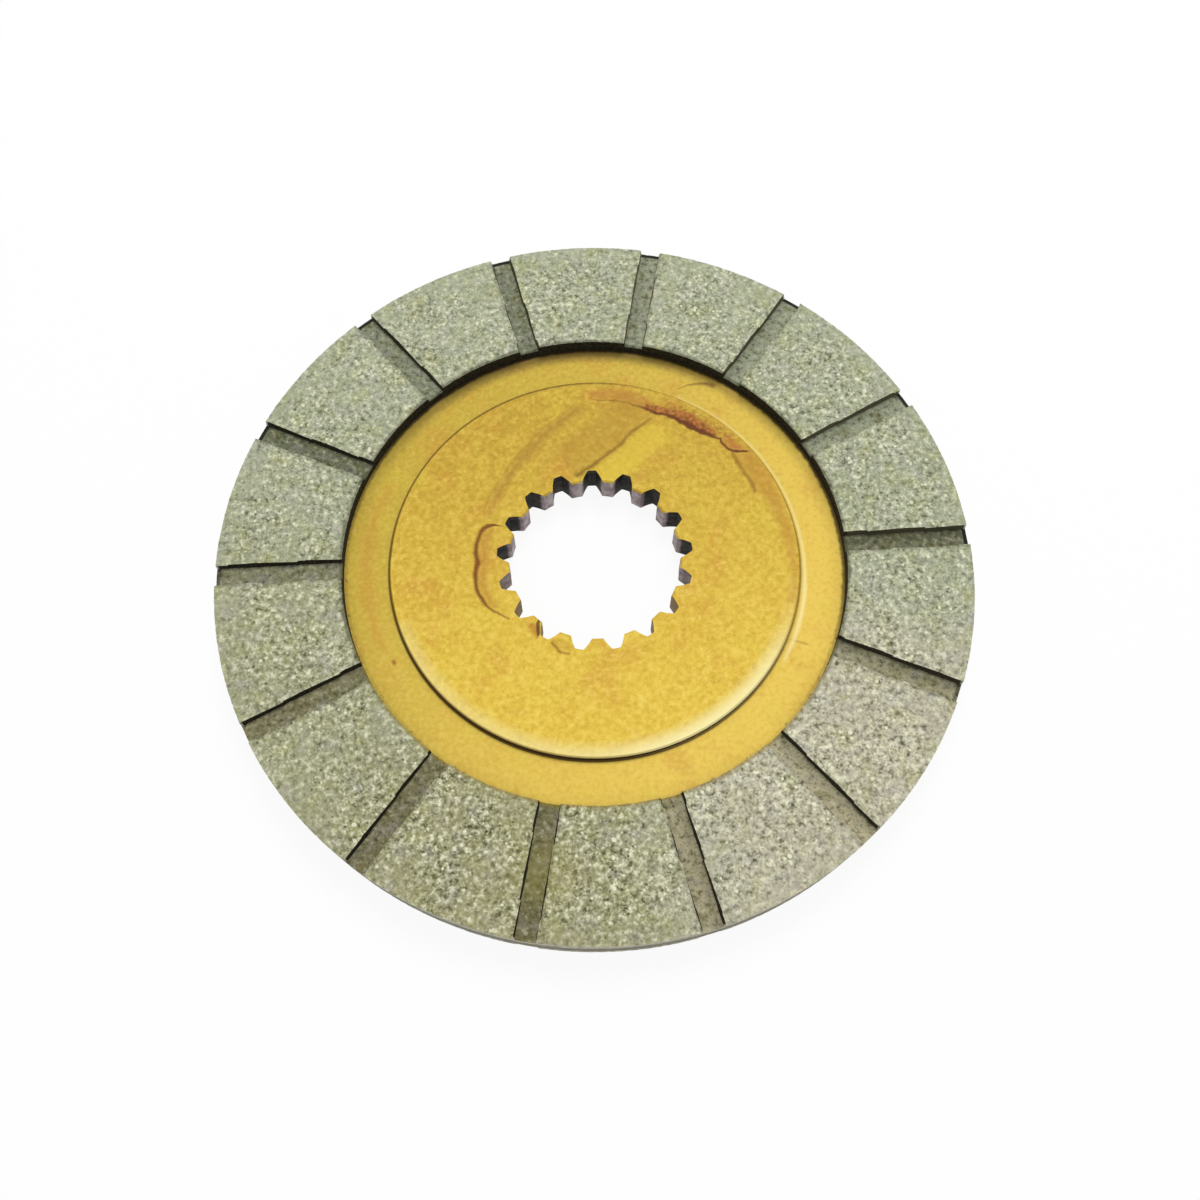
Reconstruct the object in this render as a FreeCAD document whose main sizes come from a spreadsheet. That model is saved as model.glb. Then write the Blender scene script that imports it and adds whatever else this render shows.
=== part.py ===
"""Splined friction brake disc, in millimetres.

A steel carrier plate with a raised boss on both sides slides on a splined shaft, and a grooved
friction ring is bonded to each side of it. The origin is at the centre of the bore, halfway through
the disc, and +Z is the disc's axis.
"""
import FreeCAD, Part
import Sketcher
import math
import os

from FreeCAD import Placement, Rotation, Vector

# Driving dimensions: millimetres, degrees and counts
DIMENSIONS = {
    # Carrier plate
    "disc_diameter": 178.0,
    "plate_thickness": 4.5,
    "plate_edge_break": 0.3,
    "boss_diameter": 97.3,
    "boss_height": 1.75,
    "boss_chamfer": 0.4,
    # Involute spline, a side fit with a flat root
    "spline_teeth": 17,
    "spline_module": 2.54,
    "spline_pressure_angle": 30.0,
    "tooth_tip_depth": 1.27,
    "tooth_root_depth": 1.71,
    "tooth_root_radius": 0.35,
    "bore_chamfer": 0.4,
    "spline_turn": -2.8,
    # Friction rings
    "lining_bore": 119.0,
    "lining_thickness": 3.25,
    "groove_count": 14,
    "groove_width": 5.2,
    "groove_depth": 1.5,
    "groove_draft": 14.0,
    "groove_turn": 4.07,
}
FULL_TURN = 360
AXIS = Vector(0, 0, 1)
FLANK_STEPS = 6
CUT_OVERRUN = 1.0
TINY = 1e-6

doc = FreeCAD.newDocument("brake_disc")
sheet = doc.addObject("Spreadsheet::Sheet", "dimensions")
for row, (alias, value) in enumerate(DIMENSIONS.items(), start=1):
    sheet.set(f"A{row}", alias)
    sheet.set(f"B{row}", str(value))
    sheet.setAlias(f"B{row}", alias)
doc.recompute()


# Sketching

def new_sketch(body, name, role):
    """A sketch on the body's own XY_Plane, XZ_Plane or YZ_Plane."""
    plane = next(feature for feature in body.Origin.OriginFeatures if feature.Role == role)
    sketch = body.newObject("Sketcher::SketchObject", name)
    sketch.AttachmentSupport = [(plane, "")]
    sketch.MapMode = "FlatFace"
    return sketch


def bind(sketch, name, formula, kind, *places):
    """A named constraint whose size follows the formula."""
    size = sheet.evalExpression(formula)
    index = sketch.addConstraint(Sketcher.Constraint(kind, *places, size))
    sketch.renameConstraint(index, name)
    sketch.setExpression(f"Constraints.{name}", formula)


def draw_outline(sketch, corners):
    """A closed outline of straight lines through corners, each a pair of formulas (across, up)."""
    points = [Vector(sheet.evalExpression(across), sheet.evalExpression(up), 0) for across, up in corners]
    lines = [sketch.addGeometry(Part.LineSegment(start, end), False)
             for start, end in zip(points, points[1:] + points[:1])]
    for line, following in zip(lines, lines[1:] + lines[:1]):
        sketch.addConstraint(Sketcher.Constraint("Coincident", line, 2, following, 1))
    for line, (across, up) in zip(lines, corners):
        bind(sketch, f"across_{line}", across, "DistanceX", -1, 1, line, 1)
        bind(sketch, f"up_{line}", up, "DistanceY", -1, 1, line, 1)


def draw_circle(sketch, name, diameter):
    """A circle about the disc's axis."""
    circle = sketch.addGeometry(Part.Circle(Vector(), AXIS, sheet.evalExpression(diameter) / 2), False)
    sketch.addConstraint(Sketcher.Constraint("Coincident", circle, 3, -1, 1))
    bind(sketch, name, diameter, "Diameter", circle)


# Carrier plate: turned blank

plate_blank = doc.addObject("PartDesign::Body", "plate_blank")
half_section = new_sketch(plate_blank, "plate_half_section", "XZ_Plane")
TIP_RADIUS = "dimensions.spline_teeth * dimensions.spline_module / 2 - dimensions.tooth_tip_depth"
PLATE_RADIUS = "dimensions.disc_diameter / 2"
PLATE_FACE = "dimensions.plate_thickness / 2"
BOSS_RADIUS = "dimensions.boss_diameter / 2"
BOSS_FACE = "dimensions.plate_thickness / 2 + dimensions.boss_height"
draw_outline(half_section, [
    (TIP_RADIUS, "0"),
    (PLATE_RADIUS, "0"),
    (PLATE_RADIUS, PLATE_FACE + " - dimensions.plate_edge_break"),
    (PLATE_RADIUS + " - dimensions.plate_edge_break", PLATE_FACE),
    (BOSS_RADIUS, PLATE_FACE),
    (BOSS_RADIUS, BOSS_FACE + " - dimensions.boss_chamfer"),
    (BOSS_RADIUS + " - dimensions.boss_chamfer", BOSS_FACE),
    (TIP_RADIUS + " + dimensions.bore_chamfer", BOSS_FACE),
    (TIP_RADIUS, BOSS_FACE + " - dimensions.bore_chamfer"),
])

upper_half = plate_blank.newObject("PartDesign::Revolution", "upper_half")
upper_half.Profile = half_section
upper_half.ReferenceAxis = (half_section, ["V_Axis"])
upper_half.Angle = FULL_TURN
middle_plane = next(f for f in plate_blank.Origin.OriginFeatures if f.Role == "XY_Plane")
both_halves = plate_blank.newObject("PartDesign::Mirrored", "both_halves")
both_halves.Originals = [upper_half]
both_halves.MirrorPlane = (middle_plane, [""])
plate_blank.Tip = both_halves


# Carrier plate: broached spline

def involute_lag(base_radius, radius):
    """How far round the axis an involute has fallen back where it reaches the radius, in radians."""
    pressure = math.acos(base_radius / radius)
    return math.tan(pressure) - pressure


def stands_at(edge, radius):
    """Whether an edge runs parallel to the axis at this radius."""
    low, high = edge.firstVertex().Point, edge.lastVertex().Point
    upright = math.isclose(low.x, high.x, abs_tol=TINY) and math.isclose(low.y, high.y, abs_tol=TINY)
    return upright and math.isclose(math.hypot(low.x, low.y), radius)


def tooth_space(height):
    """One space between two teeth, as a prism on +X that begins inside the bore."""
    half_pitch_angle = math.pi / sheet.spline_teeth / 2
    pitch_radius = sheet.spline_teeth * sheet.spline_module / 2
    base_radius = pitch_radius * math.cos(math.radians(sheet.spline_pressure_angle))
    tip_radius = pitch_radius - sheet.tooth_tip_depth
    root_radius = pitch_radius + sheet.tooth_root_depth
    mouth_radius = (base_radius + tip_radius) / 2
    reach = root_radius - mouth_radius
    radii = [mouth_radius + reach * step / FLANK_STEPS for step in range(FLANK_STEPS + 1)]

    def flank_point(radius, side):
        lag = involute_lag(base_radius, radius) - involute_lag(base_radius, pitch_radius)
        angle = side * (half_pitch_angle - lag)
        return Vector(radius * math.cos(angle), radius * math.sin(angle), -height / 2)

    flanks = [Part.BSplineCurve(), Part.BSplineCurve()]
    for flank, side in zip(flanks, (-1, 1)):
        flank.interpolate([flank_point(radius, side) for radius in radii])
    root_middle = Vector(root_radius, 0, -height / 2)
    root = Part.Arc(flank_point(root_radius, -1), root_middle, flank_point(root_radius, 1))
    mouth = Part.LineSegment(flank_point(mouth_radius, -1), flank_point(mouth_radius, 1))
    outline = [curve.toShape() for curve in (*flanks, root, mouth)]
    prism = Part.Face(Part.Wire(Part.__sortEdges__(outline))).extrude(AXIS * height)
    root_corners = [edge for edge in prism.Edges if stands_at(edge, root_radius)]
    return prism.makeFillet(sheet.tooth_root_radius, root_corners)


spline_spaces = doc.addObject("Part::Feature", "spline_spaces")
space = tooth_space(sheet.evalExpression(f"({BOSS_FACE}) * 2") + 2 * CUT_OVERRUN)
spline_spaces.Shape = Part.Compound([
    space.rotated(Vector(), AXIS, (number + 0.5) * FULL_TURN / sheet.spline_teeth)
    for number in range(sheet.spline_teeth)])
spline_spaces.Placement = Placement(Vector(), Rotation(AXIS, sheet.spline_turn))

carrier_plate = doc.addObject("Part::Cut", "carrier_plate")
carrier_plate.Base = plate_blank
carrier_plate.Tool = spline_spaces


# Friction rings

upper_lining = doc.addObject("PartDesign::Body", "upper_lining")
ring_sketch = new_sketch(upper_lining, "ring_outline", "XY_Plane")
draw_circle(ring_sketch, "outside", "dimensions.disc_diameter")
draw_circle(ring_sketch, "inside", "dimensions.lining_bore")
ring_sketch.setExpression("AttachmentOffset.Base.z", PLATE_FACE)
ring = upper_lining.newObject("PartDesign::Pad", "ring")
ring.Profile = ring_sketch
ring.setExpression("Length", "dimensions.lining_thickness")

groove_sketch = new_sketch(upper_lining, "groove_section", "YZ_Plane")
LINING_FACE = PLATE_FACE + " + dimensions.lining_thickness"
GROOVE_FLOOR = LINING_FACE + " - dimensions.groove_depth"
HALF_MOUTH = "dimensions.groove_width / 2"
HALF_FLOOR = HALF_MOUTH + " - dimensions.groove_depth * tan(dimensions.groove_draft * 1 deg)"
draw_outline(groove_sketch, [
    ("-(" + HALF_FLOOR + ")", GROOVE_FLOOR),
    (HALF_FLOOR, GROOVE_FLOOR),
    (HALF_MOUTH, LINING_FACE),
    ("-(" + HALF_MOUTH + ")", LINING_FACE),
])
groove = upper_lining.newObject("PartDesign::Pocket", "groove")
groove.Profile = groove_sketch
groove.Reversed = True
groove.setExpression("Length", "dimensions.disc_diameter / 2")
grooves = upper_lining.newObject("PartDesign::PolarPattern", "grooves")
grooves.Originals = [groove]
grooves.Axis = (ring_sketch, ["N_Axis"])
grooves.Angle = FULL_TURN
grooves.setExpression("Occurrences", "dimensions.groove_count")
upper_lining.Tip = grooves
upper_lining.setExpression("Placement.Rotation.Angle", "dimensions.groove_turn * 1 deg")

lower_lining = doc.addObject("Part::Mirroring", "lower_lining")
lower_lining.Source = upper_lining
lower_lining.Normal = AXIS
doc.recompute()


# Checks and files

for item in doc.Objects:
    if "Invalid" in item.State or "Error" in item.State:
        raise RuntimeError(f"{item.Label} was not built: {item.State}")

PIECES = [carrier_plate, upper_lining, lower_lining]
os.makedirs("parts", exist_ok=True)
for piece in PIECES:
    if piece.Shape.isNull() or not piece.Shape.isValid() or len(piece.Shape.Solids) != 1:
        raise RuntimeError(f"{piece.Label} is not one sound solid")
    piece.Shape.exportStep(f"parts/{piece.Label}.step")
    print(piece.Label, round(piece.Shape.Volume, 1), "cubic mm")
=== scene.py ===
"""A splined friction brake disc lying on a white table, in metres."""

import math

import bmesh
import bpy
from mathutils import Matrix, Vector


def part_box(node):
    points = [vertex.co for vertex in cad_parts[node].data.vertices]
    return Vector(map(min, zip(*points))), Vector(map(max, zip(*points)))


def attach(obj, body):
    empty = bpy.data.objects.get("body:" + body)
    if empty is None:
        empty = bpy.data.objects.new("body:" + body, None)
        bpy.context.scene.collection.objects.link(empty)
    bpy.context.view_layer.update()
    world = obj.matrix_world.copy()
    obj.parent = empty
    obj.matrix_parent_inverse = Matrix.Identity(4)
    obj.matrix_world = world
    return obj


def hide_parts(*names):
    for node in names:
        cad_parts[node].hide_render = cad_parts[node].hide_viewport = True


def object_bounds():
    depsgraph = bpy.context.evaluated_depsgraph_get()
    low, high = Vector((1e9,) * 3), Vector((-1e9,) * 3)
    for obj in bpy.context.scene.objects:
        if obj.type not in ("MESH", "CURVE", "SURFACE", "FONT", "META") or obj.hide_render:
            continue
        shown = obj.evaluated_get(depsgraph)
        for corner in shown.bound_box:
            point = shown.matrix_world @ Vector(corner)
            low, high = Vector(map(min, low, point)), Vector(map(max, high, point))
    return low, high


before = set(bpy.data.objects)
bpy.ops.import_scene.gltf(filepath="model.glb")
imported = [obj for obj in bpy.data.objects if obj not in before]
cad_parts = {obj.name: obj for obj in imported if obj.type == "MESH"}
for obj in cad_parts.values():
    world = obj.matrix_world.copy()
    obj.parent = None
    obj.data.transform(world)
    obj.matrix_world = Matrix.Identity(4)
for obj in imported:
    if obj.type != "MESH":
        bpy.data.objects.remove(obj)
cad_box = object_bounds()
MM = 0.001


# Friction rings
# The upper and lower linings are rings of moulded friction material, mineral fibre and resin with
# light chips and dark grit in it. Each was pressed with 14 grooves across its face and bonded to
# the steel plate by its flat back. The faces are ground, and their edges have crumbled a little.

RING_STEPS = 1000
FACE_STEPS = 61
SIDE_STEPS = 2
GROOVES = 14
MOUTH_WIDTH = 5.2 * MM
GROOVE_DEPTH = 1.5 * MM
GROOVE_DRAFT = math.radians(14)
FLOOR_WIDTH = MOUTH_WIDTH - 2 * GROOVE_DEPTH * math.tan(GROOVE_DRAFT)
GROOVE_TURN = math.radians(4.07)
SHARP_EDGE = math.radians(50)
NEAR = 0.01 * MM

low_corner, high_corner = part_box("upper_lining")
seat_height = low_corner[2]
face_height = high_corner[2]
floor_height = face_height - GROOVE_DEPTH
outer_radius = high_corner[0]
inner_radius = min(vertex.co.xy.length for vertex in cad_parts["upper_lining"].data.vertices)


def select_in_edit_mode(obj, kind, chosen):
    """Selects the edit mesh's edges or faces that the test chooses, and nothing else."""
    bpy.ops.mesh.select_mode(type=kind)
    bpy.ops.mesh.select_all(action="DESELECT")
    mesh = bmesh.from_edit_mesh(obj.data)
    for item in mesh.edges if kind == "EDGE" else mesh.faces:
        if chosen(item):
            item.select_set(True)
    bmesh.update_edit_mesh(obj.data)


def at_height(item, height):
    return all(abs(vertex.co.z - height) < NEAR for vertex in item.verts)


def groove_sides():
    """The direction across each line of grooves; two grooves share a line through the axis."""
    for line in range(GROOVES // 2):
        angle = GROOVE_TURN + line * 2 * math.pi / GROOVES
        yield Vector((-math.sin(angle), math.cos(angle), 0))


def over_floor(face):
    centre = face.calc_center_median()
    return any(abs(centre.dot(across)) < FLOOR_WIDTH / 2 for across in groove_sides())


bpy.ops.object.select_all(action="DESELECT")
bpy.ops.mesh.primitive_circle_add(vertices=RING_STEPS, radius=inner_radius)
upper_ring = bpy.context.object
upper_ring.name = "upper_friction_ring"
bpy.ops.object.mode_set(mode="EDIT")
bpy.ops.mesh.select_all(action="SELECT")
bpy.ops.transform.translate(value=(0, 0, face_height))
bpy.ops.mesh.extrude_edges_move()
growth = outer_radius / inner_radius
bpy.ops.transform.resize(value=(growth, growth, 1), center_override=(0, 0, face_height))
select_in_edit_mode(upper_ring, "EDGE", lambda edge: not edge.is_boundary)
bpy.ops.mesh.subdivide(number_cuts=FACE_STEPS)

# The sides go down to the groove floors' level and on to the seat, and the back closes them
select_in_edit_mode(upper_ring, "EDGE", lambda edge: edge.is_boundary)
for drop in (face_height - floor_height, floor_height - seat_height):
    bpy.ops.mesh.extrude_edges_move(TRANSFORM_OT_translate={"value": (0, 0, -drop)})
bpy.ops.mesh.bridge_edge_loops()

# Each groove is cut along its mouth and its floor, and its floor's strip of the face pressed down
for across in groove_sides():
    for width in (MOUTH_WIDTH, -MOUTH_WIDTH, FLOOR_WIDTH, -FLOOR_WIDTH):
        bpy.ops.mesh.select_all(action="SELECT")
        bpy.ops.mesh.bisect(plane_co=across * width / 2, plane_no=across)
select_in_edit_mode(upper_ring, "FACE", lambda face: at_height(face, face_height) and over_floor(face))
bpy.ops.transform.translate(value=(0, 0, -GROOVE_DEPTH))
bpy.ops.mesh.select_all(action="SELECT")
bpy.ops.mesh.remove_doubles(threshold=NEAR)
select_in_edit_mode(upper_ring, "EDGE", lambda edge: not at_height(edge, edge.verts[0].co.z))
bpy.ops.mesh.subdivide(number_cuts=SIDE_STEPS)
bpy.ops.mesh.select_all(action="SELECT")
bpy.ops.mesh.normals_make_consistent(inside=False)
bpy.ops.object.mode_set(mode="OBJECT")


def in_group(obj, name, chosen):
    """A vertex group of the vertices that the test chooses."""
    group = obj.vertex_groups.new(name=name)
    group.add([vertex.index for vertex in obj.data.vertices if chosen(vertex)], 1, "REPLACE")


def wear_away(obj, name, group, kind, grain, stops, depth):
    """Sinks the surface by up to the depth where a grainy pattern is light."""
    pattern = bpy.data.textures.new(name, kind)
    pattern.noise_scale = grain
    pattern.use_color_ramp = True
    for stop, (position, level) in zip(pattern.color_ramp.elements, stops):
        stop.position = position
        stop.color = (level, level, level, 1)
    worn = obj.modifiers.new(name, "DISPLACE")
    worn.texture = pattern
    worn.texture_coords = "LOCAL"
    worn.vertex_group = group
    worn.mid_level = 0
    worn.strength = -depth
    bpy.ops.object.modifier_apply(modifier=name)


def at_a_brim(vertex):
    """Whether a vertex lies where the ground face ends, at a rim or at a groove."""
    if vertex.co.z < face_height - NEAR:
        return False
    radius = vertex.co.xy.length
    at_rim = radius > outer_radius - NEAR or radius < inner_radius + NEAR
    from_lines = [abs(vertex.co.dot(across)) for across in groove_sides()]
    return at_rim or any(abs(distance - MOUTH_WIDTH / 2) < NEAR for distance in from_lines)


def in_the_open(vertex):
    """Whether a vertex lies off the brims and is not on the flat back."""
    return vertex.co.z > seat_height + NEAR and not at_a_brim(vertex)


in_group(upper_ring, "brims", at_a_brim)
in_group(upper_ring, "open_surface", in_the_open)
wear_away(upper_ring, "crumbled_brims", "brims", "CLOUDS", 0.9 * MM, [(0.4, 0), (0.9, 1)], 0.14 * MM)
wear_away(upper_ring, "pits", "open_surface", "VORONOI", 0.9 * MM, [(0.0, 1), (0.35, 0)], 0.10 * MM)
wear_away(upper_ring, "grain", "open_surface", "CLOUDS", 0.45 * MM, [(0.2, 0), (0.8, 1)], 0.07 * MM)
bpy.ops.object.shade_smooth_by_angle(angle=SHARP_EDGE)

bpy.ops.object.duplicate()
lower_ring = bpy.context.object
lower_ring.name = "lower_friction_ring"
bpy.ops.object.mode_set(mode="EDIT")
bpy.ops.mesh.select_all(action="SELECT")
bpy.ops.transform.resize(value=(1, 1, -1), center_override=(0, 0, 0))
bpy.ops.mesh.normals_make_consistent(inside=False)
bpy.ops.object.mode_set(mode="OBJECT")


class Value:
    """A number or colour that varies over a surface, for use in plain arithmetic."""

    def __init__(self, finish, socket):
        self.finish = finish
        self.socket = socket

    def math(self, operation, *values):
        return self.finish.node("ShaderNodeMath", {"operation": operation}, dict(enumerate(values)))

    def __add__(self, other):
        return self.math("ADD", self, other)

    def __sub__(self, other):
        return self.math("SUBTRACT", self, other)

    def __rsub__(self, other):
        return self.math("SUBTRACT", other, self)

    def __mul__(self, other):
        return self.math("MULTIPLY", self, other)

    def __abs__(self):
        return self.math("ABSOLUTE", self)

    __radd__ = __add__
    __rmul__ = __mul__


class Finish:
    """The finish of one surface, as a material whose nodes are written as expressions."""

    def __init__(self, name):
        self.material = bpy.data.materials.new(name)
        self.material.use_nodes = True
        self.tree = self.material.node_tree
        self.shader = self.tree.nodes["Principled BSDF"]
        self.object_place = self.node("ShaderNodeTexCoord", output="Object")
        self.place = self.vector("SCALE", self.object_place, scale=1 / MM)
        self.across = self.part_of(self.place, "X")
        self.away = self.part_of(self.place, "Y")
        self.height = self.part_of(self.place, "Z")
        self.radius = self.math("SQRT", self.across * self.across + self.away * self.away)
        turn = self.math("ARCTAN2", self.away * -1, self.across * -1)
        self.angle = turn * (180 / math.pi) + 180
        self.facing_up = abs(self.part_of(self.node("ShaderNodeTexCoord", output="Normal"), "Z"))

    def node(self, kind, settings=None, inputs=None, output=0):
        """Adds a node, makes its settings and then gives its sockets their values or links."""
        node = self.tree.nodes.new(kind)
        for name, setting in (settings or {}).items():
            if name == "stops":
                self.set_stops(node.color_ramp, setting)
            elif name == "curve":
                self.set_curve(node.mapping, setting)
            else:
                setattr(node, name, setting)
        for name, value in (inputs or {}).items():
            self.set_input(node, name, value)
        return Value(self, node.outputs[output])

    def set_input(self, node, name, value):
        if isinstance(value, Value):
            self.tree.links.new(value.socket, node.inputs[name])
        else:
            node.inputs[name].default_value = value

    def set_stops(self, ramp, stops):
        while len(ramp.elements) < len(stops):
            ramp.elements.new(1)
        for stop, (position, color) in zip(ramp.elements, stops):
            stop.position = position
            stop.color = color

    def set_curve(self, mapping, points):
        curve = mapping.curves[0]
        while len(curve.points) < len(points):
            curve.points.new(1, 1)
        for point, place in zip(curve.points, points):
            point.location = place
        mapping.update()

    def math(self, operation, *values):
        return values[0].math(operation, *values)

    def vector(self, operation, first, second=None, scale=None):
        inputs = {0: first}
        if second is not None:
            inputs[1] = second
        if scale is not None:
            inputs["Scale"] = scale
        return self.node("ShaderNodeVectorMath", {"operation": operation}, inputs)

    def part_of(self, vector, axis):
        return self.node("ShaderNodeSeparateXYZ", inputs={0: vector}, output=axis)

    def rise(self, value, start, end):
        """0 before the start, 1 past the end and a smooth rise between; also with end before start."""
        inputs = {"Value": value, "From Min": start, "From Max": end}
        return self.node("ShaderNodeMapRange", {"interpolation_type": "SMOOTHSTEP"}, inputs)

    def along(self, value, points):
        """The level of a smooth curve at a value; points are pairs of a value and its level."""
        start, end = points[0][0], points[-1][0]
        low = min(level for place, level in points)
        reach = max(level for place, level in points) - low or 1
        curve = [((place - start) / (end - start), (level - low) / reach) for place, level in points]
        share = self.node("ShaderNodeMapRange", None, {"Value": value, "From Min": start, "From Max": end})
        return self.node("ShaderNodeFloatCurve", {"curve": curve}, {"Value": share}) * reach + low

    def noise(self, grain, detail=2.0, roughness=0.5, shift=0.0):
        """A cloudy pattern around one half, its patches about as wide as the grain in millimetres."""
        place = self.vector("ADD", self.place, (shift, shift, shift)) if shift else self.place
        inputs = {"Vector": place, "Scale": 1 / grain, "Detail": detail, "Roughness": roughness}
        return self.node("ShaderNodeTexNoise", None, inputs, "Fac")

    def chips(self, spacing, size, shift):
        """Round chips this far apart; their sizes vary about the size, a share of the spacing."""
        place = self.vector("ADD", self.place, (shift, shift, shift))
        inputs = {"Vector": place, "Scale": 1 / spacing}
        from_middle = self.node("ShaderNodeTexVoronoi", None, inputs, "Distance")
        extra = (self.noise(spacing * 1.4, 1, 0.5, shift) - 0.5) * 1.3
        return self.rise(from_middle - extra - size, 0.08, -0.08)

    def line(self, value, start, end, softness):
        """1 between start and end, with a soft fall to 0 outside them."""
        past_start = self.rise(value, start - softness, start + softness)
        return past_start * self.rise(value, end + softness, end - softness)

    def mix(self, amount, first, second):
        """The second colour laid over the first in that amount."""
        inputs = {"Factor": amount, 6: first, 7: second}
        return self.node("ShaderNodeMix", {"data_type": "RGBA", "clamp_factor": True}, inputs, output=2)

    def bump(self, height, distance, strength=1.0):
        inputs = {"Height": height, "Distance": distance, "Strength": strength}
        return self.node("ShaderNodeBump", None, inputs)

    def wear(self, **sockets):
        """Links or sets the shader's sockets, their names written with underscores."""
        for name, value in sockets.items():
            self.set_input(self.shader, name.replace("_", " ").title().replace("Ior", "IOR"), value)


def paint(red, green, blue):
    """A colour from its 0 to 255 values, as a screen shows them."""
    return (*(((level / 255 + 0.055) / 1.055) ** 2.4 for level in (red, green, blue)), 1)


lining = Finish("speckled_friction_lining")
bore_radius = inner_radius / MM
rim_radius = outer_radius / MM
depth = face_height / MM - abs(lining.height)
on_floor = lining.rise(depth, 0.6, 1.1)
on_side = lining.rise(lining.facing_up, 0.75, 0.45)
clouds = lining.noise(4.5, 3, 0.6)
patches = lining.noise(8, 2, 0.5, 31.0)
speckle = lining.noise(1.3, 2, 0.5)
grit = lining.noise(0.55, 1, 0.5, 19.0)
cream_chips = lining.chips(1.5, 0.10, 11.0)
dark_chips = lining.chips(1.3, 0.06, 53.0)

# How far a point lies behind the middle line of its groove, seen from the front
pitch = 360 / GROOVES
from_groove = lining.angle - math.degrees(GROOVE_TURN) + pitch / 2
from_groove = lining.math("MODULO", from_groove, pitch) - pitch / 2
behind = lining.radius * from_groove * (math.pi / 180) * lining.math("SIGN", lining.across)

# The faces: how olive, how pale and how coarse the upper one is changes from place to place
on_top = lining.rise(lining.height, -0.5, 0.5)
olive = on_top * lining.along(lining.angle, [
    (0, 0), (150, 0), (197, 0.5), (223, 0.6), (249, 1), (274, 0.9), (300, 0), (360, 0)])
pale = on_top * lining.along(lining.angle, [(0, 0), (270, 0), (300, 1), (326, 1), (352, 0.1), (360, 0)])
coarse = (olive * olive * 0.27 + pale * 0.22 + 0.96) * (lining.rise(patches, 0.25, 0.7) * 0.6 + 0.7)
coarse = coarse * (1 - lining.rise(lining.radius, 82, 88) * 0.3)
face_color = lining.mix(olive, paint(169, 174, 146), paint(163, 160, 121))
face_color = lining.mix(pale, face_color, paint(193, 187, 164))
face_color = lining.mix(lining.rise(clouds, 0.5, 0.75) * 0.55, face_color, paint(168, 168, 104))
face_color = lining.mix(lining.rise(clouds, 0.5, 0.25) * 0.5, face_color, paint(176, 172, 168))
face_color = lining.mix(lining.rise(speckle, 0.5, 0.24) * coarse * 0.75, face_color, paint(84, 86, 58))
face_color = lining.mix(lining.rise(speckle, 0.5, 0.76) * coarse * 0.65, face_color, paint(244, 244, 214))
face_color = lining.mix(lining.rise(grit, 0.5, 0.25) * coarse * 0.45, face_color, paint(92, 94, 64))
face_color = lining.mix(lining.rise(grit, 0.5, 0.75) * coarse * 0.4, face_color, paint(236, 236, 200))
face_color = lining.mix(dark_chips * coarse * (0.6 - pale * 0.25), face_color, paint(70, 70, 44))
face_color = lining.mix(cream_chips * coarse * 0.6, face_color, paint(246, 244, 212))

# The groove floors, painted lighter or darker by how each one lies to the lamp, with a painted shadow
# of their back walls, and painted dark as shade at their outer ends at the back
# Painted light and shade: how far each groove's floor is lit, by the angle it lies at to the lamp
floor_shade = lining.along(lining.angle, [
    (0, 0.06), (8, 0.2), (30, 0.98), (56, 1.0), (82, 0.88), (107, 0.4), (133, 0.6), (159, 0.12),
    (184, 0.38), (210, 0.24), (236, 0.16), (262, 0.12), (287, 0.8), (313, 1.0), (339, 0.57),
    (360, 0.06)])
to_front = lining.rise(lining.away, 40, -60)
floor_color = lining.mix(to_front, paint(102, 107, 82), paint(110, 106, 70))
lit_floor = lining.mix(to_front, paint(158, 164, 137), paint(194, 185, 150))
floor_color = lining.mix(floor_shade, floor_color, lit_floor)
floor_color = lining.mix(lining.rise(clouds, 0.5, 0.68) * 0.6, floor_color, paint(112, 108, 66))
floor_color = lining.mix(lining.rise(clouds, 0.5, 0.32) * 0.5, floor_color, paint(148, 142, 134))
floor_color = lining.mix(lining.rise(speckle, 0.5, 0.24) * 0.75, floor_color, paint(54, 54, 36))
floor_color = lining.mix(lining.rise(speckle, 0.5, 0.76) * 0.6, floor_color, paint(194, 192, 162))
floor_color = lining.mix(lining.rise(grit, 0.5, 0.25) * 0.5, floor_color, paint(60, 60, 42))
floor_color = lining.mix(cream_chips * olive * 0.35, floor_color, paint(214, 210, 184))
# Painted shadow of each groove's back wall across the back part of its floor
back_shade = lining.along(lining.angle, [
    (0, 0.5), (30, 0.25), (82, 0.15), (107, 0), (262, 0), (287, 0.25), (339, 0.3), (360, 0.5)])
floor_color = lining.mix(lining.rise(behind, -0.8, 0.9) * back_shade, floor_color, paint(40, 42, 28))
# Painted shade: the outer ends of the floors are painted near black, except at the front
at_front = lining.rise(abs(lining.angle - 262), 95, 55)
floor_end_shade = lining.rise(lining.radius, rim_radius - 1.1, rim_radius - 0.8)
floor_color = lining.mix(floor_end_shade * (1 - at_front) * 0.95, floor_color, paint(26, 26, 24))

# An olive stain over the front groove and the pads beside it
stain_x, stain_y = lining.across + 10, lining.away + 74
from_stain = lining.math("SQRT", stain_x * stain_x + stain_y * stain_y)
stain = lining.rise(from_stain + (clouds - 0.5) * 20, 10, 2) * on_top

# The sides: near black at the bore and in most grooves, with painted light making some groove walls
# paler by how they face the lamp, and pale grey round the outer rim
side_color = lining.mix(lining.rise(grit, 0.35, 0.65) * 0.6, paint(26, 24, 18), paint(70, 66, 50))
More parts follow.
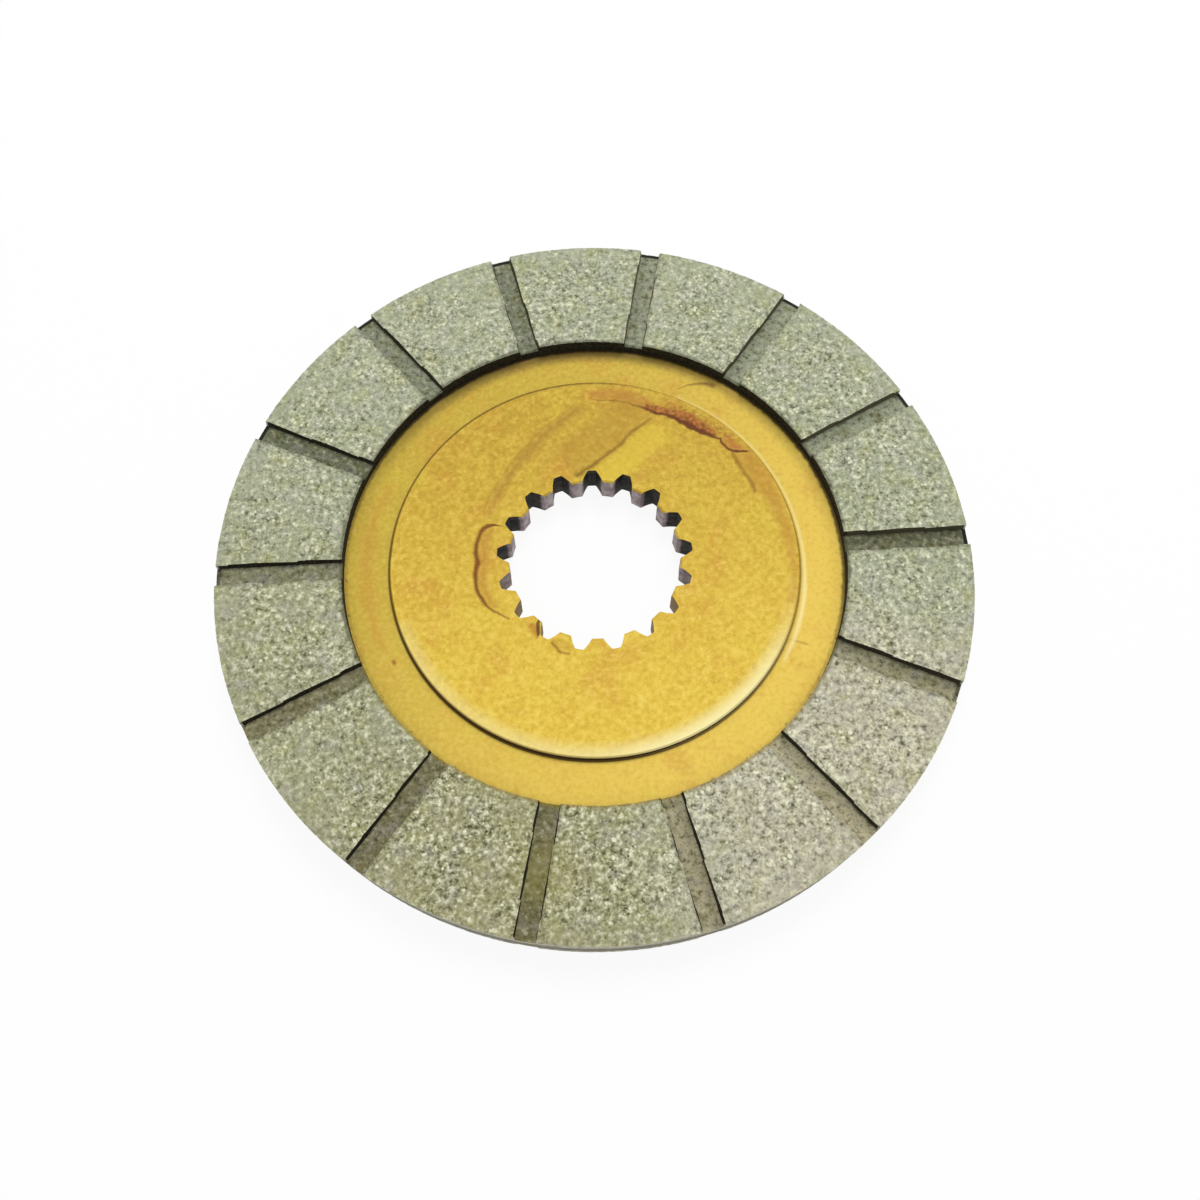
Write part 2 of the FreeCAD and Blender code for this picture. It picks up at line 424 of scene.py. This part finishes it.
# Painted light: the groove walls are painted paler at the angles where they catch more light
painted_wall_light = lining.along(lining.angle, [
    (0, 0.2), (30, 0.75), (56, 0.7), (82, 1), (107, 0.4), (133, 0.1), (158, 0), (360, 0.2)])
in_groove = lining.rise(lining.radius, bore_radius + 0.5, bore_radius + 1.5)
side_color = lining.mix(painted_wall_light * in_groove * 0.8, side_color, paint(122, 116, 90))
at_rim = lining.rise(lining.radius, rim_radius - 0.6, rim_radius - 0.3)
rim_color = lining.mix(lining.rise(speckle, 0.4, 0.6), paint(182, 180, 162), paint(218, 216, 200))
side_color = lining.mix(at_rim * 0.95, side_color, rim_color)

# The front brims of the grooves are a little darker, and painted shade lies along the brim at the bore,
# dark at the back and yellowish at the front
moulded = lining.mix(on_floor, face_color, floor_color)
moulded = lining.mix(stain * 0.3, moulded, paint(164, 156, 74))
moulded = lining.mix(lining.line(behind, -3.05, -2.5, 0.35) * 0.3, moulded, paint(70, 70, 48))
# Painted shade along the lining's brim at the bore
at_bore = lining.rise(lining.radius + (clouds - 0.5) * 1.6, bore_radius + 1.1, bore_radius + 0.2)
bore_brim_shade = lining.mix(lining.rise(lining.away, -45, -15), paint(150, 128, 44), paint(58, 56, 32))
moulded = lining.mix(at_bore * 0.6, moulded, bore_brim_shade)
moulded = lining.mix(on_side, moulded, side_color)
lining.wear(base_color=moulded, roughness=0.8 + grit * 0.15, specular_ior_level=0.15,
            normal=lining.bump(speckle + grit * 0.5, 0.1 * MM, 0.5))

for ring, node in ((upper_ring, "upper_lining"), (lower_ring, "lower_lining")):
    ring.data.materials.clear()
    ring.data.materials.append(lining.material)
    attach(ring, "root")
    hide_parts(node)


# Carrier plate
# One steel disc, turned with a low boss on both sides and broached with the spline, then yellow
# zinc plated. The passivated film has drained unevenly: it is golden with a fine orange mottle,
# and has left brown runs and rings where the bath dried.

plate = Finish("yellow_zinc_plate")
angle = plate.angle


def streak(run, offset, points, softness, ragged=0.0):
    """A streak of stain, and of painted highlight too: each point is its place along the run, its middle's
    offset and half its width.
    """
    middle = plate.along(run, [(place, middle) for place, middle, width in points])
    width = plate.along(run, [(place, width) for place, middle, width in points])
    from_middle = abs(offset - middle + (fray - 0.5) * ragged)
    ends = plate.line(run, points[0][0], points[-1][0], softness)
    return plate.rise(from_middle - width, softness, -softness) * ends


def from_line(start, end, x, y):
    """How far a place lies along the line from start to end, and how far to the left of it."""
    length = math.dist(start, end)
    right, up = (end[0] - start[0]) / length, (end[1] - start[1]) / length
    from_x, from_y = x - start[0], y - start[1]
    return from_x * right + from_y * up, from_y * right - from_x * up


def with_width(points, width):
    """A streak's points with one half width all along."""
    return [(place, middle, width) for place, middle, old_width in points]


mottle = plate.noise(1.15, 2, 0.6)
blush = plate.noise(9, 4, 0.6)
fray = plate.noise(1.6, 3, 0.6, 7.0)
smudges = plate.noise(1.0, 2, 0.6, 5.0)
boss_radius = 97.3 / 2

# The angle runs from 0 to 360 degrees, and the turn from -180 to 180 for what crosses +X
turn = plate.math("ARCTAN2", plate.away, plate.across) * (180 / math.pi)

# Gold that is paler towards the front, with cloudy patches and a fine mottle
on_ledge = plate.rise(plate.radius, boss_radius - 0.1, boss_radius + 0.3)
to_front = plate.rise(plate.across * 0.1 - plate.away, -48, 48)
boss_gold = plate.mix(to_front, paint(197, 163, 54), paint(232, 198, 73))
to_front_right = plate.rise(plate.across * 0.77 - plate.away * 0.64, -64, 64)
ledge_gold = plate.mix(to_front_right, paint(199, 171, 60), paint(241, 206, 90))
gold = plate.mix(on_ledge, boss_gold, ledge_gold)
gold = plate.mix(plate.rise(blush, 0.5, 0.72) * 0.5, gold, paint(206, 150, 58))
gold = plate.mix(plate.rise(blush, 0.5, 0.25) * 0.35, gold, paint(222, 202, 70))
dark_gold = plate.mix(to_front, paint(160, 122, 28), paint(194, 154, 44))
pale_gold = plate.mix(to_front, paint(234, 204, 90), paint(254, 228, 120))
mottling = 2.4 - on_ledge
gold = plate.mix((0.5 - mottle) * mottling, gold, dark_gold)
gold = plate.mix((mottle - 0.5) * mottling, gold, pale_gold)
gold = plate.mix(on_ledge * plate.rise(smudges, 0.5, 0.75) * 0.35, gold, paint(234, 204, 106))
plain_gold = gold

# The brown run beside the boss's edge: a dark ragged rim, a lighter fill above it and a hook at its end
run_fill = streak(angle, plate.radius, [
    (48, 44.9, 0.5), (52, 44.6, 1.1), (56, 44.4, 1.5), (61, 44.3, 1.5), (66, 44.0, 1.1), (70, 43.3, 1.2),
    (74, 43.4, 0.7)],
    0.8, 2.6)
hook_fill = streak(angle, plate.radius, [(39.5, 46.6, 0.5), (42, 45.6, 1.1), (46.5, 45.7, 0.9)], 0.7, 1.5)
run_rim = streak(angle, plate.radius, [
    (46.5, 44.7, 0.3), (49, 43.9, 0.5), (52, 43.4, 0.7), (55, 43.0, 0.8), (60, 42.9, 0.65),
    (66, 42.9, 0.45), (70, 42.3, 0.4), (73, 42.7, 0.35), (77, 42.8, 0.2), (81, 43.3, 0.05),
    (86, 43.2, 0.05), (92, 43.7, 0.0)], 0.35, 1.4)
hook_rim = streak(angle, plate.radius, [
    (37.8, 47.3, 0.3), (39, 46.2, 0.5), (40.2, 45.0, 0.5), (42, 44.2, 0.35), (45, 44.1, 0.35),
    (46.8, 44.9, 0.3)], 0.3, 0.8)
thin_run = streak(angle, plate.radius, [
    (24.5, 42.3, 0.35), (27, 43.0, 0.5), (30, 43.1, 0.45), (33, 43.0, 0.5), (36, 43.3, 0.5),
    (41, 43.9, 0.4)], 0.6, 1.0)
spray = streak(angle, plate.radius, [(44, 47.0, 0.8), (56, 46.4, 1.2), (68, 45.4, 0.9)], 0.9, 2.0)
tan_edge = streak(turn, plate.radius, [
    (-14, 47.5, 0.5), (-6, 47.3, 0.8), (2, 46.9, 1.0), (10, 46.5, 1.3), (18, 46.0, 1.8), (26, 45.8, 2.3),
    (34, 45.8, 2.3), (40, 46.1, 1.6), (47, 46.6, 0.5)], 1.4, 2.0)
brown_band = streak(angle, plate.radius, [
    (73, 44.5, 1.2), (80, 44.9, 1.6), (88, 45.0, 1.4), (93, 45.0, 0.6)], 1.0, 1.6)
gold = plate.mix(tan_edge * (smudges * 0.5 + 0.25), gold, paint(182, 122, 46))
gold = plate.mix(brown_band * (smudges * 0.6 + 0.2), gold, paint(182, 116, 54))
gold = plate.mix(spray * plate.rise(smudges, 0.4, 0.65) * 0.7, gold, paint(152, 90, 38))
brown = plate.mix(plate.rise(smudges, 0.35, 0.65), paint(110, 52, 20), paint(190, 110, 54))
gold = plate.mix(run_fill * 0.86, gold, brown)
gold = plate.mix(hook_fill * (smudges * 0.7 + 0.2), gold, paint(180, 100, 48))
for rim in (run_rim, hook_rim):
    gold = plate.mix(rim * 0.9, gold, paint(88, 34, 8))
gold = plate.mix(thin_run * 0.7, gold, paint(134, 84, 20))

# The drained edge that runs down to the spline, dull behind it and pale before it, and a soft band
drain_start, drain_end = (13.8, 38.2), (-5.4, 21.9)
drain_run, drain_offset = from_line(drain_start, drain_end, plate.across, plate.away)
drain_points = [(*from_line(drain_start, drain_end, x, y), width) for x, y, width in [
    (*drain_start, 0.2), (9.3, 34.7, 0.3), (5.5, 30.2, 0.35), (0.4, 25.8, 0.45), (*drain_end, 0.5)]]
drain_line = streak(drain_run, drain_offset, drain_points, 0.7, 1.0)
dull_side = streak(drain_run, drain_offset + 5.0, with_width(drain_points, 4.6), 1.5, 2.5)
pale_side = streak(drain_run, drain_offset - 4.5, with_width(drain_points, 3.2), 2.0, 2.5)
gold = plate.mix(dull_side * 0.36, gold, paint(172, 126, 46))
gold = plate.mix(pale_side * 0.45, gold, paint(228, 204, 66))
gold = plate.mix(drain_line * 0.8, gold, paint(112, 68, 20))
band_start, band_end = (-4.1, 41.1), (-24.5, 9.2)
band_run, band_offset = from_line(band_start, band_end, plate.across, plate.away)
band_points = [(*from_line(band_start, band_end, x, y), width) for x, y, width in [
    (*band_start, 0.8), (-9.2, 36.6, 1.1), (-15.6, 29.6, 1.1), (-20.0, 23.2, 0.9), (*band_end, 0.6)]]
dull_band = streak(band_run, band_offset, band_points, 1.5, 2.2)
band_edge = streak(band_run, band_offset + 1.6, with_width(band_points, 0.05), 0.5, 1.4)
gold = plate.mix(dull_band * 0.52, gold, paint(158, 110, 42))
gold = plate.mix(band_edge * 0.45, gold, paint(128, 84, 24))

# The dried ring left of the spline and the marks about the teeth below it
dried_ring = streak(angle, plate.radius, [
    (160.2, 23.0, 0.8), (161.2, 25.6, 0.9), (163.2, 27.0, 0.7), (166, 27.8, 0.55), (170, 28.2, 0.5),
    (175, 28.3, 0.5), (179, 28.2, 0.6), (183, 27.8, 0.65), (187, 28.2, 0.6), (192, 28.6, 0.5),
    (197, 28.8, 0.5), (203, 28.4, 0.5), (208, 27.8, 0.35), (213, 26.5, 0.25),
    (219, 25.2, 0.1)], 0.45, 0.8)
inside_ring = streak(angle, plate.radius + 1.6, [
    (163, 26.5, 0.6), (170, 28.0, 1.0), (185, 28.0, 1.2), (198, 28.6, 1.0), (210, 27.2, 0.4)], 1.2, 1.6)
gold = plate.mix(inside_ring * (smudges * 0.8 + 0.1), gold, paint(180, 116, 48))
gold = plate.mix(dried_ring * 0.88, gold, paint(112, 48, 10))
tooth_mark = streak(angle, plate.radius, [(229, 22.6, 0.9), (233, 23.0, 0.9), (238, 24.2, 0.4)], 0.6, 1.0)
tooth_line = streak(angle, plate.radius, [
    (231.0, 20.6, 0.6), (233.5, 21.8, 0.7), (237.5, 23.5, 0.5)], 0.4, 0.5)
arc = streak(angle, plate.radius, [
    (245.5, 23.6, 0.25), (249, 24.2, 0.35), (253, 24.9, 0.3), (257.5, 24.9, 0.15)], 0.4, 0.8)
arc_fill = streak(angle, plate.radius, [(245, 23.2, 0.5), (251, 23.2, 1.0), (257, 23.6, 0.8)], 0.7, 1.2)
gold = plate.mix(tooth_mark * 0.6, gold, paint(176, 104, 34))
gold = plate.mix(arc_fill * 0.35, gold, paint(182, 126, 36))
gold = plate.mix(arc * 0.75, gold, paint(132, 82, 12))
gold = plate.mix(tooth_line * 0.85, gold, paint(70, 30, 10))

# Marks on the ledge round the boss, a painted highlight along the boss's edge and beside it on the
# ledge, and a painted shade line at the boss's foot
ledge_mark = streak(angle, plate.radius, [(58.5, 57.2, 0.7), (61, 56.6, 0.5), (67, 51.8, 0.1)], 0.5, 0.8)
gold = plate.mix(ledge_mark * 0.7, gold, paint(112, 62, 22))
olive_mark = streak(plate.radius, angle, [(49.5, 336.8, 0.35), (54.0, 337.4, 0.2)], 0.4, 0.4)
gold = plate.mix(olive_mark * 0.5, gold, paint(140, 112, 44))
ledge_band = streak(angle, plate.radius, [
    (158, 53.6, 0.5), (174, 54.2, 1.2), (190, 54.2, 1.2), (206, 53.4, 0.5)], 1.6, 3.0)
gold = plate.mix(ledge_band * (smudges * 0.4 + 0.1), gold, paint(196, 124, 48))
speck = plate.line(plate.radius, 52.4, 53.2, 0.4) * plate.rise(abs(angle - 209.7), 1.2, 0.2)
gold = plate.mix(speck * 0.8, gold, paint(150, 66, 20))
# Painted highlight: a cream glow along the boss's rounded edge, strongest at the front right
boss_edge_highlight_share = plate.along(angle, [
    (200, 0), (212, 0.35), (240, 0.4), (270, 0.6), (298, 1), (318, 0.95), (334, 0.5), (346, 0.1),
    (356, 0)])
boss_edge_highlight = plate.rise(plate.radius, boss_radius - 4.5, boss_radius - 0.3) * (1 - on_ledge)
gold = plate.mix(boss_edge_highlight * boss_edge_highlight_share * 0.9, gold, paint(255, 244, 180))
# Painted highlight: a thin cream line on the ledge just outside the boss's edge, at the right
ledge_highlight = streak(turn, plate.radius, [
    (-30, 50.3, 0.1), (-16, 50.2, 0.5), (0, 49.9, 0.35), (15, 49.7, 0.25), (45, 49.75, 0.2),
    (66, 49.7, 0.1)], 0.5, 0.5)
ledge_highlight_share = plate.along(turn, [(-30, 0.5), (-10, 0.9), (0, 0.85), (30, 0.65), (45, 0.6), (66, 0.5)])
gold = plate.mix(ledge_highlight * ledge_highlight_share, gold, paint(255, 236, 160))
# Painted shade: a dark line on the ledge at the foot of the boss's wall, its width and strength varying
# round it
foot_shade_reach = plate.along(turn, [
    (-180, 0.5), (-150, 0.2), (-90, 0.15), (-60, 0.0), (-15, 0.15), (15, 0.25), (60, 0.35), (95, 0.75),
    (150, 0.6), (180, 0.5)])
boss_foot_shade = plate.line(plate.radius + foot_shade_reach, boss_radius, boss_radius + 0.5 + foot_shade_reach, 0.2)
foot_shade_share = plate.along(turn, [
    (-180, 0.75), (-120, 0.85), (-90, 0.85), (-60, 0.65), (-25, 0.5), (0, 0.6), (30, 0.45), (60, 0.2),
    (75, 0.3), (95, 0.6), (150, 0.75), (180, 0.75)])
gold = plate.mix(boss_foot_shade * foot_shade_share, gold, paint(72, 40, 6))

# Dark bond squeezed out along the foot of the linings, with painted shade in it, most of it at the
# back, and a painted shadow of the linings on the plate beside it
to_foot = bore_radius - plate.radius + (fray - 0.5) * 1.1
# The dark bond line with painted shade in it, strongest at the back
bond_and_shade_share = plate.along(turn, [
    (-180, 0.35), (-140, 0.15), (-60, 0.1), (-25, 0.35), (-10, 0.7), (8, 0.9), (140, 1), (152, 0.8),
    (165, 0.5), (180, 0.35)])
# Painted shadow of the linings on the plate, reaching furthest at the back
foot_shadow_share = plate.along(turn, [
    (-20, 0), (5, 0.08), (20, 0.2), (45, 0.4), (65, 0.55), (90, 0.8), (120, 0.7), (150, 0.35), (170, 0.1),
    (180, 0)])
gold = plate.mix(plate.rise(to_foot, 4.7, 1.4) * foot_shadow_share, gold, paint(86, 68, 32))
gold = plate.mix(plate.rise(to_foot, 1.2, 0.35) * bond_and_shade_share * 0.9, gold, paint(38, 28, 16))
bits = plate.rise(to_foot, 1.1, 0.3) * plate.rise(smudges, 0.56, 0.68)
gold = plate.mix(bits * 0.6, gold, paint(84, 56, 20))

# Stains, marks, bond and the painted shade and highlights are on the upper side, and the lower one is
# plain
gold = plate.mix(plate.rise(plate.height, -0.5, 0.5), plain_gold, gold)

# The walls: grey teeth with the spaces at the back of the bore painted near black as shade, the boss's
# wall painted dark as shade, and the grey outer rim
on_wall = plate.rise(plate.facing_up, 0.6, 0.3)
tarnish = plate.noise(2.6, 3, 0.6)
# Painted shade: the spaces between the teeth at the back of the bore are painted near black
space_in_shade = plate.rise(plate.radius, 20.7, 21.6) * plate.rise(plate.away, -9, 3)
plated = plate.rise(plate.away, -3, -10)
wall_color = plate.mix(plate.rise(tarnish, 0.35, 0.65), paint(150, 134, 136), paint(204, 192, 194))
space_shade_color = plate.mix(plate.rise(tarnish, 0.4, 0.7), paint(12, 8, 6), paint(70, 66, 56))
wall_color = plate.mix(space_in_shade, wall_color, space_shade_color)
wall_color = plate.mix(plated * 0.8, wall_color, paint(148, 124, 62))
# Painted shade: the boss's wall, past the bore, is painted dark brown
past_bore = plate.rise(plate.radius, 40, 42)
past_boss = plate.rise(plate.radius, 70, 72)
wall_color = plate.mix(past_bore, wall_color, paint(52, 26, 10))
wall_color = plate.mix(past_boss, wall_color, paint(128, 122, 104))
gold = plate.mix(on_wall, gold, wall_color)
plate.wear(base_color=gold, metallic=0.05, roughness=0.55 + mottle * 0.2, specular_ior_level=0.2,
           normal=plate.bump(mottle + blush * 0.6, 0.05 * MM, 0.5))
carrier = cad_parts["carrier_plate"]
carrier.data.materials.clear()
carrier.data.materials.append(plate.material)


# Table and light
# The disc lies on a wide white table. One broad lamp stands behind and above it, so that the linings
# and the grooves' back walls throw short soft shadows forwards, and the pale room fills the rest.

TABLE_WIDTH = 4
TABLE_GLOW = 0.92
ROOM_LIGHT = 0.45
ROOM_SEEN = 1.0
table_height = cad_box[0][2]
bpy.ops.object.select_all(action="DESELECT")
bpy.ops.mesh.primitive_plane_add(size=TABLE_WIDTH, location=(0, 0, table_height))
table = bpy.context.object
table.name = "table"
white = Finish("white_table")
white.wear(base_color=(0.97, 0.97, 0.97, 1), roughness=0.9)

# Where the camera sees it, the table is mostly plain white, so that its shadow stays faint
shown = white.node("ShaderNodeEmission", None, {"Color": (1, 1, 1, 1), "Strength": 1.0})
seen = white.node("ShaderNodeLightPath", output="Is Camera Ray") \
    + white.node("ShaderNodeLightPath", output="Is Glossy Ray") \
    + white.node("ShaderNodeLightPath", output="Is Transmission Ray")
blend = white.node("ShaderNodeMixShader", None, {
    0: seen * TABLE_GLOW, 1: Value(white, white.shader.outputs[0]), 2: shown})
output = white.tree.nodes["Material Output"]
white.tree.links.new(blend.socket, output.inputs["Surface"])
table.data.materials.append(white.material)


def add_lamp(name, place, target, size, power):
    """A square soft lamp that faces its target."""
    bpy.ops.object.light_add(type="AREA", location=place)
    lamp = bpy.context.object
    lamp.name = name
    lamp.rotation_euler = (Vector(target) - Vector(place)).to_track_quat("-Z", "Y").to_euler()
    lamp.data.size = size
    lamp.data.energy = power


add_lamp("back_lamp", place=(0.095, 0.537, 1.069), target=(0, 0, 0), size=0.55, power=8.75)

# The room is white where the camera sees it, and gives a softer light than that
world = bpy.data.worlds.new("pale_room")
bpy.context.scene.world = world
world.use_nodes = True
room = world.node_tree
background = room.nodes["Background"]
background.inputs["Color"].default_value = (1, 1, 1, 1)
room_path = room.nodes.new("ShaderNodeLightPath")
seen_share = room_path.outputs["Is Camera Ray"]
for ray in ("Is Glossy Ray", "Is Transmission Ray"):
    either = room.nodes.new("ShaderNodeMath")
    either.operation = "MAXIMUM"
    room.links.new(seen_share, either.inputs[0])
    room.links.new(room_path.outputs[ray], either.inputs[1])
    seen_share = either.outputs[0]
room_level = room.nodes.new("ShaderNodeMapRange")
room_level.inputs["To Min"].default_value = ROOM_LIGHT
room_level.inputs["To Max"].default_value = ROOM_SEEN
room.links.new(seen_share, room_level.inputs["Value"])
room.links.new(room_level.outputs["Result"], background.inputs["Strength"])

# Camera, where the photograph was taken from
CAMERA_PLACE = Vector((1.315, -112.833, 255.502)) * MM
CAMERA_DOWN = math.radians(67.927)
CAMERA_ROLL = math.radians(0.614)
FOCAL_PIXELS = 1163.137
PHOTO_PIXELS = 1200
SENSOR = 36.0
bpy.ops.object.camera_add()
camera = bpy.context.object
camera.name = "camera"
camera.matrix_world = (Matrix.Translation(CAMERA_PLACE)
                       @ Matrix.Rotation(math.pi / 2 - CAMERA_DOWN, 4, "X")
                       @ Matrix.Rotation(CAMERA_ROLL, 4, "Z"))
camera.data.sensor_width = SENSOR
camera.data.lens = SENSOR * FOCAL_PIXELS / PHOTO_PIXELS
camera.data.clip_start = 0.01
bpy.context.scene.camera = camera
bpy.context.scene.view_settings.view_transform = "Standard"
